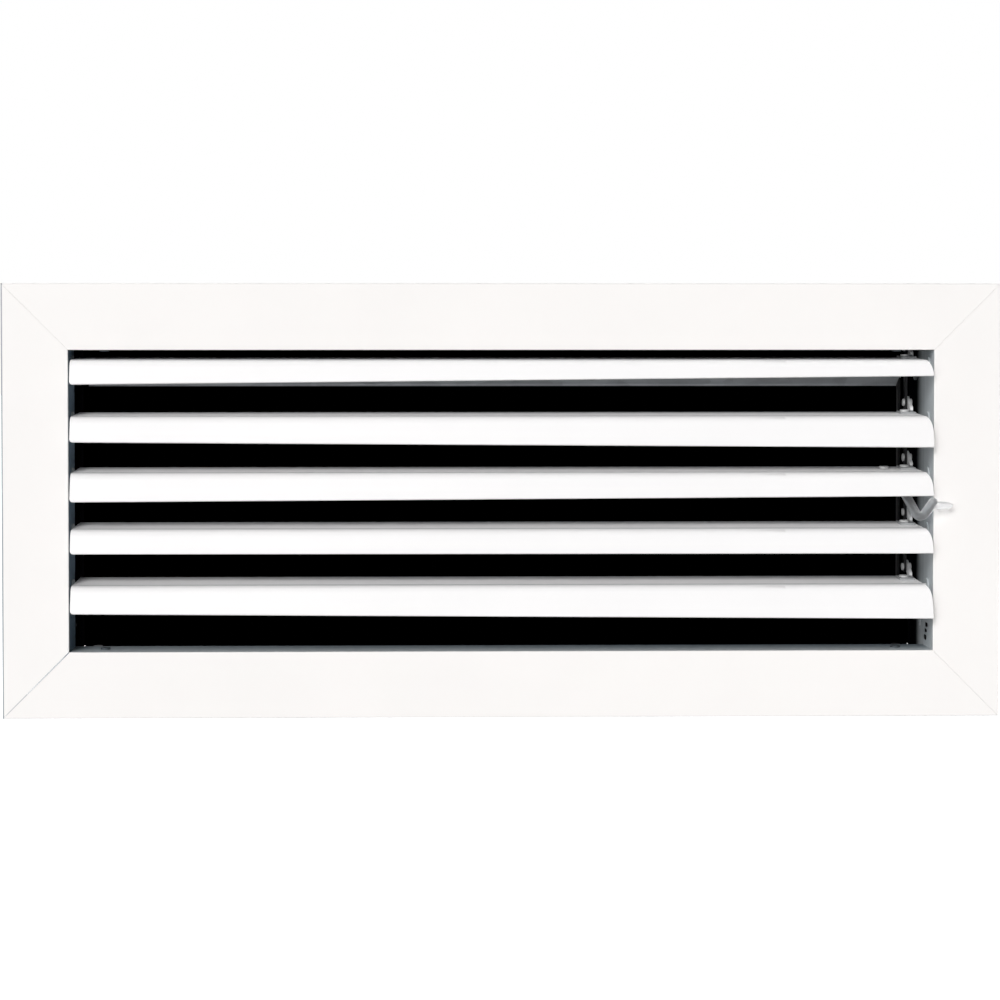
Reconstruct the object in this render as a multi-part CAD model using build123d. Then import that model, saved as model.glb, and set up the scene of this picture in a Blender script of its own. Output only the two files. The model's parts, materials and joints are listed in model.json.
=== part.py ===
from build123d import *
import math
import os

# Ceiling air outlet: a mitred flange frame with five ganged louvre blades,
# and a sheet-metal neck behind it with a five-shutter volume damper.
# Millimetres. X runs along the slot, +Y goes into the duct, +Z is up.
# The origin is the centre of the plane on which the flange rim seats.

# Flange frame, four mitred extrusions round the opening
OPENING_W = 390.0
FLANGE_W = 30.0
FACE_T = 1.4
RIM_T = 1.4
LIP_T = 1.4
LIP_DEPTH = 19.0
FACE_EDGE_R = 0.5
MITRE_GAP = 0.05
SEAT_RELIEF = 0.4

# Corner keys and the channel that holds them
KEY_W = 8.8
KEY_T = 3.0
KEY_LEG = 32.0
KEY_CLEAR = 0.1
KEY_RIB_T = 1.2
KEY_TOE_W = 1.5
KEY_TOE_T = 1.0

# Front blades: an L-section with a nose and a flat leg, measured from the pivot
BLADE_COUNT = 5
BLADE_PITCH = 25.4
BLADE_TOP_GAP = 6.4
BLADE_BOTTOM_GAP = 28.0
BLADE_PIVOT_DEPTH = 11.0
BLADE_END_GAP = 1.3
BLADE_T = 1.5
NOSE_LEAN = 14.0
BEND_REACH = 14.2
BEND_R = 3.6
LEG_RISE = 2.3
LEG_SLOPE = 2.0
TAIL_REACH = 16.0
BLADE_EDGE_R = 0.45
BLADE_CORNER_R = 2.0
BLADE_ARC_R = 10.0
BLADE_ARC_DROP = 6.5
GROOVE_SETBACK = 3.8
GROOVE_R = 0.4
BLADE_BOSS_R = 2.3

# Drop of each nose's lower edge below the pivot, at the blade's left and right end
NOSE_DROPS = [(8.8, 5.1), (9.2, 11.75), (10.55, 8.3), (8.5, 8.75), (9.95, 12.65)]

# Pivot pins and bushes
PIN_R = 1.25
PIN_GRIP = 10.0
PRESS_CLEAR = 0.02
RUN_CLEAR = 0.06
BUSH_WALL = 1.2
BUSH_HEAD_R = 3.7
BUSH_HEAD_T = 0.8
BUSH_RECESS = 0.1

# Cranks, link pins and tie bar at the right ends of the blades
CRANK_T = 1.4
CRANK_INSET = 4.0
CRANK_R = 1.6
CRANK_FOOT_T = 0.8
CRANK_FOOT_LEFT = 5.6
CRANK_FOOT_START = 1.5
CRANK_FOOT_L = 9.5
CRANK_TIP = 2.6
LINK_REACH = 14.5
LINK_RISE = 7.2
LINK_PIN_R = 1.0
LINK_HEAD_R = 1.7
LINK_HEAD_T = 0.7
LINK_SIDE_GAP = 0.2
TIE_BAR_W = 3.5
TIE_BAR_T = 1.0
TIE_BAR_END = 2.6
TIE_NOTCH_CLEAR = 1.6

# Rivets
RIVET_R = 1.2
RIVET_HEAD_R = 2.2
RIVET_HEAD_T = 0.8
SEAT_GAP = 0.05

# Handle on the middle blade
HANDLE_R = 2.1
HANDLE_FOOT_W = 9.4
HANDLE_FOOT_L = 8.0
HANDLE_FOOT_T = 2.2
HANDLE_FOOT_INSET = 10.8
HANDLE_FOOT_START = 3.5
HANDLE_RIVET_INSET = 6.6
HANDLE_KNEE_INSET = 12.0
HANDLE_KNEE_DEPTH = 8.5
HANDLE_KNEE_DROP = 7.0
HANDLE_BOTTOM_INSET = 6.7
HANDLE_BOTTOM_DROP = 19.7
HANDLE_FLANGE_CLEAR = 2.9
HANDLE_SHOULDER_INSET = 1.5
HANDLE_SHOULDER_DROP = 11.3
HANDLE_TIP_OUT = 2.0
HANDLE_TIP_DROP = 12.7
HANDLE_TIP_L = 11.0
HANDLE_TIP_W = 3.4
HANDLE_BENDS = [4.0, 3.0]

# Sheet-metal neck
SHEET_T = 1.0
SHEET_BEND_R = 0.6
NECK_STEP = 3.6
NECK_MARGIN = 2.5
NECK_TAB_L = 13.0
NECK_RIVET_INSET = 7.5
NECK_RIVET_DEPTHS = [36.0, 50.0]
FRAME_RIVET_INSET = 15.0
FRAME_RIVET_DEPTH = 10.0
FIXING_HOLE_R = 2.1
FIXING_DEPTH = 33.0
FIXING_SPACING = 120.0

# Punched slots low in the right lip: depth, height above the lower lip, run of the punch, radius
LIP_SLOTS = [(13.0, 9.8, 3.0, 1.1), (14.4, 7.0, 2.6, 0.9), (15.4, 3.8, 3.0, 1.2)]

# Damper shutters
SHUTTER_SETBACK = 31.0
SHUTTER_DROP = 4.6
SHUTTER_GAP = 0.4
SHUTTER_T = 1.0
SHUTTER_HEM_R = 0.9
SHUTTER_BOSS_R = 2.4
SHUTTER_LEFT_GAP = 2.0
SHUTTER_RIGHT_GAP = 6.0
SHUTTER_TILT = -30.0
SHUTTER_PIN_R = 1.5
EAR_T = 1.2
EAR_R = 2.5
EAR_REACH = 8.0
EAR_ANGLE = 12.5
SHUTTER_BAR_W = 4.0
SHUTTER_BAR_T = 1.0
SHUTTER_BAR_END = 3.0

# How far a cutting tool runs past the face that it cuts
CUT_PAST = 1.0

# Worked-out sizes
RIM_DEPTH = FACE_T + KEY_T + 2 * KEY_CLEAR + KEY_TOE_T + SEAT_RELIEF
OPENING_H = BLADE_TOP_GAP + (BLADE_COUNT - 1) * BLADE_PITCH + BLADE_BOTTOM_GAP
HALF_W = OPENING_W / 2
HALF_H = OPENING_H / 2
FRONT_Y = -RIM_DEPTH
FACE_BACK_Y = FRONT_Y + FACE_T
LIP_BACK_Y = FRONT_Y + LIP_DEPTH
WALL_X = HALF_W + LIP_T
WALL_OUT_X = WALL_X + SHEET_T
SLEEVE_Z = HALF_H + LIP_T
NECK_Z = SLEEVE_Z + NECK_STEP
NECK_OUT_Z = NECK_Z + SHEET_T
NECK_TAB_Z = NECK_OUT_Z + SHEET_T
BUSH_R = PIN_R + BUSH_WALL
SHUTTER_BUSH_R = SHUTTER_PIN_R + BUSH_WALL

MIDDLE_BLADE = BLADE_COUNT // 2
BLADE_END_X = HALF_W - BLADE_END_GAP
PIVOT_Y = FRONT_Y + BLADE_PIVOT_DEPTH
PIVOT_Z = [HALF_H - BLADE_TOP_GAP - i * BLADE_PITCH for i in range(BLADE_COUNT)]
LEG_GRADE = math.tan(math.radians(LEG_SLOPE))
BEND_RISE = LEG_RISE - BEND_REACH * LEG_GRADE
TAIL_RISE = LEG_RISE + TAIL_REACH * LEG_GRADE
CRANK_X1 = BLADE_END_X - CRANK_INSET
CRANK_X0 = CRANK_X1 - CRANK_T
TIE_BAR_X1 = CRANK_X0 - LINK_SIDE_GAP
TIE_BAR_X0 = TIE_BAR_X1 - TIE_BAR_T
LINK_Y = PIVOT_Y + LINK_REACH

SHUTTER_Y = PIVOT_Y + SHUTTER_SETBACK
SHUTTER_Z = [z - SHUTTER_DROP for z in PIVOT_Z]
SHUTTER_CHORD = BLADE_PITCH - SHUTTER_GAP
NECK_BACK_Y = SHUTTER_Y + SHUTTER_CHORD / 2 + NECK_MARGIN
SHUTTER_X0 = -(HALF_W - SHUTTER_LEFT_GAP)
SHUTTER_X1 = HALF_W - SHUTTER_RIGHT_GAP
EAR_Y = EAR_REACH * math.cos(math.radians(EAR_ANGLE))
EAR_Z = EAR_REACH * math.sin(math.radians(EAR_ANGLE))
SHUTTER_BAR_X0 = SHUTTER_X1 + LINK_SIDE_GAP
SHUTTER_BAR_X1 = SHUTTER_BAR_X0 + SHUTTER_BAR_T


def block(x0, x1, y0, y1, z0, z1):
    """Box between two corners."""
    size = Box(abs(x1 - x0), abs(y1 - y0), abs(z1 - z0))
    return Pos((x0 + x1) / 2, (y0 + y1) / 2, (z0 + z1) / 2) * size


def x_rod(x0, x1, y, z, radius):
    """Round rod along X."""
    return Pos((x0 + x1) / 2, y, z) * Rot(0, 90, 0) * Cylinder(radius, abs(x1 - x0))


def z_rod(x, y, z0, z1, radius):
    """Round rod along Z."""
    return Pos(x, y, (z0 + z1) / 2) * Cylinder(radius, abs(z1 - z0))


def strip(w0, w1, d0, d1):
    """Flat rectangle between two corners."""
    return Pos((w0 + w1) / 2, (d0 + d1) / 2) * Rectangle(w1 - w0, d1 - d0)


def x_capsule(start, end, radius, x0, x1):
    """Round-ended bar in a plane across X, between two points (y, z)."""
    along = Vector(end[0] - start[0], end[1] - start[1])
    middle = ((start[0] + end[0]) / 2, (start[1] + end[1]) / 2)
    turn = math.degrees(math.atan2(along.Y, along.X))
    face = Pos(*middle) * SlotCenterToCenter(along.length, 2 * radius, rotation=turn)
    return extrude(Pos(x0, 0, 0) * (Plane.YZ * face), x1 - x0)


def offset_points(points, distance):
    """Mitred offset of an open polyline, to the right of its direction."""
    moved = []
    for k, point in enumerate(points):
        before = points[max(k - 1, 0)]
        after = points[min(k + 1, len(points) - 1)]
        into = (point - before).normalized() if k > 0 else (after - point).normalized()
        out = (after - point).normalized() if k < len(points) - 1 else into
        normal = Vector(into.Y + out.Y, -into.X - out.X).normalized()
        shorten = normal.dot(Vector(into.Y, -into.X))
        moved.append(point + normal * (distance / shorten))
    return moved


def folded_strip(points, thickness, bends):
    """Section of a folded strip: points run along one side, the strip lies to their right."""
    near = [Vector(*p) for p in points]
    far = offset_points(near, thickness)
    far_bends = []
    for k, bend in enumerate(bends):
        left_turn = (near[k + 1] - near[k]).cross(near[k + 2] - near[k + 1]).Z > 0
        far_bends.append(bend + thickness if left_turn else bend - thickness)
    near_line = FilletPolyline(*near, radius=bends)
    far_line = FilletPolyline(*far, radius=far_bends)
    ends = [Line(near[0], far[0]), Line(near[-1], far[-1])]
    return make_face(near_line.edges() + far_line.edges() + ends)


def frame_section():
    """Extrusion section: distance out from the opening, depth from the room face."""
    rim_in = FLANGE_W - RIM_T
    rib_out = rim_in - KEY_W - 2 * KEY_CLEAR
    toe_front = FACE_T + KEY_T + 2 * KEY_CLEAR
    toe_back = toe_front + KEY_TOE_T
    section = strip(0, FLANGE_W, 0, FACE_T)
    section += strip(0, LIP_T, 0, LIP_DEPTH)
    section += strip(rim_in, FLANGE_W, 0, RIM_DEPTH)
    section += strip(rib_out - KEY_RIB_T, rib_out, 0, toe_back)
    section += strip(rib_out, rib_out + KEY_TOE_W, toe_front, toe_back)
    section += strip(rim_in - KEY_TOE_W, rim_in, toe_front, toe_back)
    front = section.vertices().group_by(Axis.Y)[0]
    return fillet(front, FACE_EDGE_R)


def frame_member(outward, half_out, half_length):
    """One frame extrusion with mitred ends, on the side of the opening that outward names."""
    outward = Vector(*outward)
    origin = outward * half_out + Vector(0, FRONT_Y, 0)
    run = outward.cross(Vector(0, 1, 0))
    bar = extrude(Plane(origin, x_dir=outward, z_dir=run) * frame_section(),
                  half_length + FLANGE_W, both=True)
    inner = half_length - MITRE_GAP - FLANGE_W
    outer = half_length - MITRE_GAP + 2 * FLANGE_W
    wedge = Polygon((-FLANGE_W, -inner), (2 * FLANGE_W, -outer),
                    (2 * FLANGE_W, outer), (-FLANGE_W, inner))
    mitre = extrude(Plane(origin, x_dir=outward, z_dir=(0, 1, 0)) * wedge, 2 * LIP_DEPTH, both=True)
    return bar & mitre


def frame():
    """Four mitred members with their bush holes, rivet holes and punched slots."""
    top = frame_member((0, 0, 1), HALF_H, HALF_W)
    bottom = frame_member((0, 0, -1), HALF_H, HALF_W)
    left = frame_member((-1, 0, 0), HALF_W, HALF_H)
    right = frame_member((1, 0, 0), HALF_W, HALF_H)
    for z in PIVOT_Z:
        hole = x_rod(HALF_W - CUT_PAST, WALL_X + CUT_PAST, PIVOT_Y, z, BUSH_R + PRESS_CLEAR)
        left -= mirror(hole, about=Plane.YZ)
        right -= hole
    for x, y in frame_rivet_places():
        hole = z_rod(x, y, -SLEEVE_Z - CUT_PAST, SLEEVE_Z + CUT_PAST, RIVET_R + PRESS_CLEAR)
        top -= hole
        bottom -= hole
    right -= lip_slots()
    return {"frame_top": top, "frame_bottom": bottom, "frame_left": left, "frame_right": right}


def lip_slots():
    """Three small punched slots through the right lip."""
    made = []
    for depth, up, run, radius in LIP_SLOTS:
        y = FRONT_Y + depth
        z = -HALF_H + up
        made.append(x_capsule((y - run / 2, z), (y + run / 2, z), radius, HALF_W - CUT_PAST, WALL_X + CUT_PAST))
    return Part() + made


def frame_rivet_places():
    """Rivet places along the upper and lower lips."""
    x = HALF_W - FRAME_RIVET_INSET
    return [(side * x, FRONT_Y + FRAME_RIVET_DEPTH) for side in (-1, 1)]


def z_rivet(x, y, z_in, z_out):
    """Rivet along Z through sheets between two heights, with a head at each end."""
    step = math.copysign(RIVET_HEAD_T, z_out - z_in)
    return (z_rod(x, y, z_in, z_out, RIVET_R)
            + z_rod(x, y, z_in - step, z_in, RIVET_HEAD_R)
            + z_rod(x, y, z_out, z_out + step, RIVET_HEAD_R))


def frame_rivets():
    """Rivets that hold the neck's sleeve on the lips."""
    outer = SLEEVE_Z + SHEET_T
    return Compound([z_rivet(x, y, side * HALF_H, side * outer)
                     for x, y in frame_rivet_places() for side in (1, -1)])


def corner_key(side_x, side_z):
    """L-shaped key in the channels of two members."""
    y0 = FACE_BACK_Y + KEY_CLEAR
    out = FLANGE_W - RIM_T - KEY_CLEAR
    x1 = side_x * (HALF_W + out)
    z1 = side_z * (HALF_H + out)
    along_x = block(x1 - side_x * KEY_LEG, x1, y0, y0 + KEY_T, z1 - side_z * KEY_W, z1)
    along_z = block(x1 - side_x * KEY_W, x1, y0, y0 + KEY_T, z1 - side_z * KEY_LEG, z1)
    return along_x + along_z


def bushes(side, inner_x, outer_x, y, heights, bush_r, pin_r):
    """Flanged bushes through one wall, with their heads inside."""
    made = []
    for z in heights:
        bush = x_rod(side * (inner_x - BUSH_HEAD_T), side * inner_x, y, z, BUSH_HEAD_R)
        bush += x_rod(side * inner_x, side * (outer_x - BUSH_RECESS), y, z, bush_r)
        bush -= x_rod(side * (inner_x - BUSH_HEAD_T - CUT_PAST), side * (outer_x + CUT_PAST), y, z,
                      pin_r + RUN_CLEAR)
        made.append(bush)
    return Compound(made)


def neck_sheet():
    """Upper wall: a sleeve on the lip, a step and the neck's wall."""
    path = [(FACE_BACK_Y, SLEEVE_Z + SHEET_T), (LIP_BACK_Y, SLEEVE_Z + SHEET_T),
            (LIP_BACK_Y, NECK_OUT_Z), (NECK_BACK_Y, NECK_OUT_Z)]
    section = folded_strip(path, SHEET_T, [SHEET_BEND_R, SHEET_BEND_R + SHEET_T])
    edge_x = WALL_X - SHEET_BEND_R
    sheet = extrude(Plane.YZ * section, edge_x, both=True)
    for side in (-1, 1):
        sheet += block(side * edge_x, side * WALL_OUT_X, FACE_BACK_Y, LIP_BACK_Y - SHEET_BEND_R,
                       SLEEVE_Z, SLEEVE_Z + SHEET_T)
    for x, y in frame_rivet_places():
        sheet -= z_rod(x, y, SLEEVE_Z - CUT_PAST, SLEEVE_Z + SHEET_T + CUT_PAST, RIVET_R + PRESS_CLEAR)
    for x, y in neck_rivet_places():
        sheet -= z_rod(x, y, NECK_Z - CUT_PAST, NECK_OUT_Z + CUT_PAST, RIVET_R + PRESS_CLEAR)
    return sheet


def neck_rivet_places():
    """Rivet places in the corner tabs."""
    x = WALL_X - NECK_RIVET_INSET
    return [(side * x, FRONT_Y + d) for side in (-1, 1) for d in NECK_RIVET_DEPTHS]


def neck_rivets():
    """Rivets that join the folded tabs to the upper and lower walls."""
    return Compound([z_rivet(x, y, side * NECK_Z, side * NECK_TAB_Z)
                     for x, y in neck_rivet_places() for side in (1, -1)])


def neck_side():
    """Right wall: a plate on the lip, and behind it a channel with tabs folded inwards."""
    tab_x = WALL_OUT_X - NECK_TAB_L
    path = [(tab_x, NECK_TAB_Z), (WALL_OUT_X, NECK_TAB_Z),
            (WALL_OUT_X, -NECK_TAB_Z), (tab_x, -NECK_TAB_Z)]
    section = folded_strip(path, SHEET_T, [SHEET_BEND_R + SHEET_T] * 2)
    start = Plane((0, LIP_BACK_Y, 0), x_dir=(1, 0, 0), z_dir=(0, -1, 0))
    wall = extrude(start * section, LIP_BACK_Y - NECK_BACK_Y)
    wall += block(WALL_X, WALL_OUT_X, FACE_BACK_Y, LIP_BACK_Y, -SLEEVE_Z, SLEEVE_Z)
    holes = [(PIVOT_Y, z, BUSH_R + PRESS_CLEAR) for z in PIVOT_Z]
    holes += [(SHUTTER_Y, z, SHUTTER_BUSH_R + PRESS_CLEAR) for z in SHUTTER_Z]
    holes += [(FRONT_Y + FIXING_DEPTH, side * FIXING_SPACING / 2, FIXING_HOLE_R) for side in (-1, 1)]
    for y, z, radius in holes:
        wall -= x_rod(WALL_X - CUT_PAST, WALL_OUT_X + CUT_PAST, y, z, radius)
    for x, y in neck_rivet_places():
        wall -= z_rod(x, y, -NECK_TAB_Z - CUT_PAST, NECK_TAB_Z + CUT_PAST, RIVET_R + PRESS_CLEAR)
    return wall


def neck():
    """Four sheet walls of the neck."""
    top = neck_sheet()
    side = neck_side()
    return {"neck_top": top, "neck_bottom": mirror(top, about=Plane.XY),
            "neck_left": mirror(side, about=Plane.YZ), "neck_right": side}


def nose_end(drop):
    """Lower end of a nose's outer face, at one drop below the pivot."""
    return -BEND_REACH - (drop + BEND_RISE) * math.tan(math.radians(NOSE_LEAN)), -drop


def blade_section(drop):
    """L-section round the pivot: a leaning nose at the front and a flat leg behind it."""
    path = [nose_end(drop), (-BEND_REACH, BEND_RISE), (TAIL_REACH, TAIL_RISE)]
    section = folded_strip(path, BLADE_T, [BEND_R])
    nose = section.vertices().sort_by(Axis.Y)[:2]
    tail = section.vertices().sort_by(Axis.X)[-2:]
    section = fillet(nose + tail, BLADE_EDGE_R)
    section += Circle(BLADE_BOSS_R)
    groove_y = GROOVE_SETBACK - BEND_REACH
    return section - Pos(groove_y, LEG_RISE + groove_y * LEG_GRADE) * Circle(GROOVE_R)


def leg_frame(i, x):
    """Place on top of blade i's leg: Y runs back from above the pivot, Z stands on the face."""
    return Pos(x, PIVOT_Y, PIVOT_Z[i] + LEG_RISE) * Rot(LEG_SLOPE, 0, 0)


def leg_rivet_hole(i, x, along):
    """Hole through a blade's leg and what is riveted on it."""
    return leg_frame(i, x) * Pos(0, along, 0) * Cylinder(RIVET_R + PRESS_CLEAR, 6 * BLADE_T)


def leg_rivet(i, x, along, below, above):
    """Rivet through a blade's leg, between two heights from the leg's upper face."""
    shank = Pos(0, 0, (above - below) / 2) * Cylinder(RIVET_R, above + below)
    head = Pos(0, 0, above + RIVET_HEAD_T / 2) * Cylinder(RIVET_HEAD_R, RIVET_HEAD_T)
    foot = Pos(0, 0, -below - RIVET_HEAD_T / 2) * Cylinder(RIVET_HEAD_R, RIVET_HEAD_T)
    return leg_frame(i, x) * Pos(0, along, 0) * (shank + head + foot)


def crank_rivet_place():
    """Rivet place of a crank's foot: x, and distance back along the leg."""
    return CRANK_X0 - CRANK_FOOT_LEFT / 2, CRANK_FOOT_START + CRANK_FOOT_L / 2


def handle_rivet_place():
    """Rivet place of the handle's foot: x, and distance back along the leg."""
    x1 = BLADE_END_X - HANDLE_FOOT_INSET
    return x1 - HANDLE_RIVET_INSET, HANDLE_FOOT_START + HANDLE_FOOT_L / 2


def blade(i):
    """Louvre blade i, with its slanted nose, its pin holes and the notch for the tie bar."""
    ends = []
    for side, drop in zip((-1, 1), NOSE_DROPS[i]):
        ends.append(Pos(side * BLADE_END_X, PIVOT_Y, PIVOT_Z[i]) * (Plane.YZ * blade_section(drop)))
    body = loft(ends, ruled=True)
    for side in (-1, 1):
        x = side * BLADE_END_X
        body -= x_rod(x - side * PIN_GRIP, x + side * CUT_PAST, PIVOT_Y, PIVOT_Z[i], PIN_R + PRESS_CLEAR)
    nose_low = NOSE_DROPS[i][0] + BLADE_T * math.sin(math.radians(NOSE_LEAN))
    body -= end_round(-1, PIVOT_Z[i] - nose_low + BLADE_CORNER_R, -1, BLADE_CORNER_R)
    body -= end_round(1, PIVOT_Z[i] + BEND_RISE - BLADE_ARC_DROP, 1, BLADE_ARC_R)
    notch_y = LINK_REACH - TIE_BAR_W / 2 - TIE_NOTCH_CLEAR
    notch_x = TIE_BAR_X0 - LINK_HEAD_T - TIE_NOTCH_CLEAR
    body -= block(notch_x, BLADE_END_X + CUT_PAST, PIVOT_Y + notch_y, PIVOT_Y + TAIL_REACH + CUT_PAST,
                  PIVOT_Z[i], PIVOT_Z[i] + TAIL_RISE + CUT_PAST)
    body -= leg_rivet_hole(i, *crank_rivet_place())
    if i == MIDDLE_BLADE:
        body -= leg_rivet_hole(i, *handle_rivet_place())
    return body


def end_round(side, z, up, radius):
    """What is cut off to round a blade's end, above (up = 1) or below (up = -1) the height z."""
    x = side * (BLADE_END_X - radius)
    corner = block(x, side * (BLADE_END_X + CUT_PAST), PIVOT_Y - BLADE_PITCH, PIVOT_Y + BLADE_PITCH,
                   z, z + up * (radius + CUT_PAST))
    return corner - Pos(x, PIVOT_Y, z) * Rot(90, 0, 0) * Cylinder(radius, 4 * BLADE_PITCH)


def crank(i):
    """Bracket on blade i's leg, with an arm up to the link pin."""
    foot = block(CRANK_X0 - CRANK_FOOT_LEFT, CRANK_X1, CRANK_FOOT_START, CRANK_FOOT_START + CRANK_FOOT_L,
                 SEAT_GAP, CRANK_FOOT_T)
    bracket = leg_frame(i, 0) * foot
    base = leg_frame(i, 0) * Pos(0, CRANK_FOOT_START + CRANK_FOOT_L - CRANK_R, CRANK_R + SEAT_GAP)
    start = Vector(base.position.Y, base.position.Z)
    pin = Vector(LINK_Y, PIVOT_Z[i] + LINK_RISE)
    tip = pin + (pin - start).normalized() * CRANK_TIP
    bracket += x_capsule((start.X, start.Y), (tip.X, tip.Y), CRANK_R, CRANK_X0, CRANK_X1)
    bracket -= x_rod(CRANK_X0 - CUT_PAST, CRANK_X1 + CUT_PAST, pin.X, pin.Y, LINK_PIN_R + PRESS_CLEAR)
    return bracket - leg_rivet_hole(i, *crank_rivet_place())


def link_pin(x0, x1, y, z):
    """Link pin along X between two heads."""
    return (x_rod(x0, x1, y, z, LINK_PIN_R)
            + x_rod(x0 - LINK_HEAD_T, x0, y, z, LINK_HEAD_R)
            + x_rod(x1, x1 + LINK_HEAD_T, y, z, LINK_HEAD_R))


def blade_pins(i):
    """Two pivot pins, the link pin and the crank's rivet of blade i."""
    grip = BLADE_END_X - PIN_GRIP
    reach = WALL_OUT_X - 2 * BUSH_RECESS
    z = PIVOT_Z[i]
    left = x_rod(-reach, -grip, PIVOT_Y, z, PIN_R)
    right = x_rod(grip, reach, PIVOT_Y, z, PIN_R)
    link = link_pin(TIE_BAR_X0 - SEAT_GAP, CRANK_X1 + SEAT_GAP, LINK_Y, z + LINK_RISE)
    x, along = crank_rivet_place()
    rivet = leg_rivet(i, x, along, BLADE_T + SEAT_GAP, CRANK_FOOT_T + SEAT_GAP)
    return Compound([left, right, link, rivet])


def tie_bar():
    """Bar that joins the link pins of all the cranks."""
    top = PIVOT_Z[0] + LINK_RISE
    bottom = PIVOT_Z[-1] + LINK_RISE
    end = TIE_BAR_END - TIE_BAR_W / 2
    bar = x_capsule((LINK_Y, bottom - end), (LINK_Y, top + end), TIE_BAR_W / 2, TIE_BAR_X0, TIE_BAR_X1)
    for z in PIVOT_Z:
        bar -= x_rod(TIE_BAR_X0 - CUT_PAST, TIE_BAR_X1 + CUT_PAST, LINK_Y, z + LINK_RISE,
                     LINK_PIN_R + RUN_CLEAR)
    return bar


def handle():
    """Hooked handle under the middle blade: foot, bent rod, knuckle and a slim tip before the flange."""
    i = MIDDLE_BLADE
    x1 = BLADE_END_X - HANDLE_FOOT_INSET
    top = -BLADE_T - SEAT_GAP
    under = top - HANDLE_FOOT_T
    foot = block(-HANDLE_FOOT_W, 0, HANDLE_FOOT_START, HANDLE_FOOT_START + HANDLE_FOOT_L, under, top)
    start = leg_frame(i, x1) * Pos(-HANDLE_R, HANDLE_FOOT_START + HANDLE_FOOT_L - HANDLE_R, under)
    z = PIVOT_Z[i]
    tip_y = FRONT_Y - HANDLE_R - HANDLE_FLANGE_CLEAR
    shoulder = (HALF_W - HANDLE_SHOULDER_INSET, tip_y, z - HANDLE_SHOULDER_DROP)
    route = [start.position,
             (HALF_W - HANDLE_KNEE_INSET, FRONT_Y + HANDLE_KNEE_DEPTH, z - HANDLE_KNEE_DROP),
             (HALF_W - HANDLE_BOTTOM_INSET, FRONT_Y - HANDLE_R, z - HANDLE_BOTTOM_DROP),
             shoulder]
    path = FilletPolyline(*route, radius=HANDLE_BENDS)
    rod = sweep(Plane(path @ 0, z_dir=path % 0) * Circle(HANDLE_R), path=path)
    rod += Pos(*shoulder) * Sphere(HANDLE_R)
    olive = scale(Sphere(1), by=(HANDLE_TIP_L / 2, HANDLE_TIP_W / 2, HANDLE_TIP_W / 2))
    tip = Pos(HALF_W + HANDLE_TIP_OUT, tip_y, z - HANDLE_TIP_DROP) * olive
    made = leg_frame(i, x1) * foot + rod + tip
    return made - leg_rivet_hole(i, *handle_rivet_place())


def handle_rivet():
    """Rivet of the handle's foot."""
    x, along = handle_rivet_place()
    return leg_rivet(MIDDLE_BLADE, x, along, BLADE_T + 2 * SEAT_GAP + HANDLE_FOOT_T, SEAT_GAP)


def shutter(z):
    """Damper shutter: hemmed sheet with a pin tube, and an ear for the link at its right end."""
    half = SHUTTER_CHORD / 2
    section = Rectangle(SHUTTER_CHORD - 2 * SHUTTER_HEM_R, SHUTTER_T) + Circle(SHUTTER_BOSS_R)
    for side in (-1, 1):
        section += Pos(side * (half - SHUTTER_HEM_R), 0) * Circle(SHUTTER_HEM_R)
    sheet = extrude(Pos(SHUTTER_X0, 0, 0) * (Plane.YZ * section), SHUTTER_X1 - SHUTTER_X0)
    body = Pos(0, SHUTTER_Y, z) * Rot(SHUTTER_TILT, 0, 0) * sheet
    link = (SHUTTER_Y + EAR_Y, z + EAR_Z)
    body += x_capsule((SHUTTER_Y, z), link, EAR_R, SHUTTER_X1 - EAR_T, SHUTTER_X1)
    body -= x_rod(SHUTTER_X1 - EAR_T - CUT_PAST, SHUTTER_X1 + CUT_PAST, *link, LINK_PIN_R + PRESS_CLEAR)
    for x, into in ((SHUTTER_X0, 1), (SHUTTER_X1, -1)):
        body -= x_rod(x - into * CUT_PAST, x + into * PIN_GRIP, SHUTTER_Y, z, SHUTTER_PIN_R + PRESS_CLEAR)
    return body


def shutter_pins(z):
    """Two pivot pins and the link pin of one shutter."""
    reach = WALL_OUT_X - 2 * BUSH_RECESS
    left = x_rod(-reach, SHUTTER_X0 + PIN_GRIP, SHUTTER_Y, z, SHUTTER_PIN_R)
    right = x_rod(SHUTTER_X1 - PIN_GRIP, reach, SHUTTER_Y, z, SHUTTER_PIN_R)
    link = link_pin(SHUTTER_X1 - EAR_T - SEAT_GAP, SHUTTER_BAR_X1 + SEAT_GAP,
                    SHUTTER_Y + EAR_Y, z + EAR_Z)
    return Compound([left, right, link])


def shutter_bar():
    """Bar that joins the link pins of all the shutters."""
    y = SHUTTER_Y + EAR_Y
    end = SHUTTER_BAR_END - SHUTTER_BAR_W / 2
    bar = x_capsule((y, SHUTTER_Z[-1] + EAR_Z - end), (y, SHUTTER_Z[0] + EAR_Z + end),
                    SHUTTER_BAR_W / 2, SHUTTER_BAR_X0, SHUTTER_BAR_X1)
    for z in SHUTTER_Z:
        bar -= x_rod(SHUTTER_BAR_X0 - CUT_PAST, SHUTTER_BAR_X1 + CUT_PAST, y, z + EAR_Z,
                     LINK_PIN_R + RUN_CLEAR)
    return bar


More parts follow.
